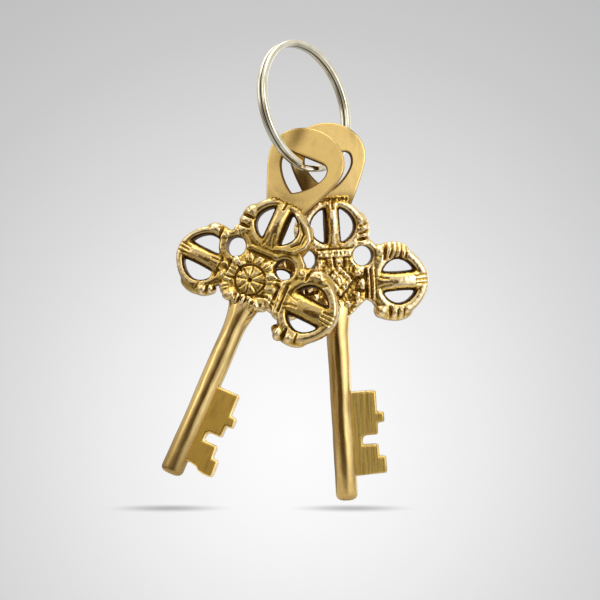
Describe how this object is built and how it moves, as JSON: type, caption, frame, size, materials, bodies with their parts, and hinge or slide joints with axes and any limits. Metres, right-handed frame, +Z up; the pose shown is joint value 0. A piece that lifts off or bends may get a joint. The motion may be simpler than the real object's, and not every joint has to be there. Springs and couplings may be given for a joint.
{
  "type": "bit keys on a split ring",
  "caption": "Ornate cast brass bit keys with openwork heads, flat hanging loops, round shanks and stepped bits, carried on a two-turn split key ring.",
  "frame": {"origin": "highest point inside the split ring, where a hook carries it", "axes": "+Z up, +X to the right seen from the front of the keys, +Y to the back"},
  "size_m": [0.0586, 0.0245, 0.1031],
  "materials": {
    "nickel_wire": "bright nickel-plated spring wire",
    "cast_brass": "cast and hand-finished brass with dark patina in the recesses"
  },
  "bodies": {
    "ring": {"split_ring": "nickel_wire"},
    "left_key": {"key_left": "cast_brass"},
    "right_key": {"key_right": "cast_brass"}
  },
  "joints": [
    {"name": "left_key_round_ring", "type": "hinge", "parent": "ring", "child": "left_key", "pos_m": [0.00187, -0.00154, -0.01338], "axis": [0.7587, -0.6266, 0.178], "range_deg": [-260, 0]},
    {"name": "right_key_round_ring", "type": "hinge", "parent": "ring", "child": "right_key", "pos_m": [0.00187, -0.00154, -0.01338], "axis": [0.7587, -0.6266, 0.178], "range_deg": [0, 260]}
  ]
}
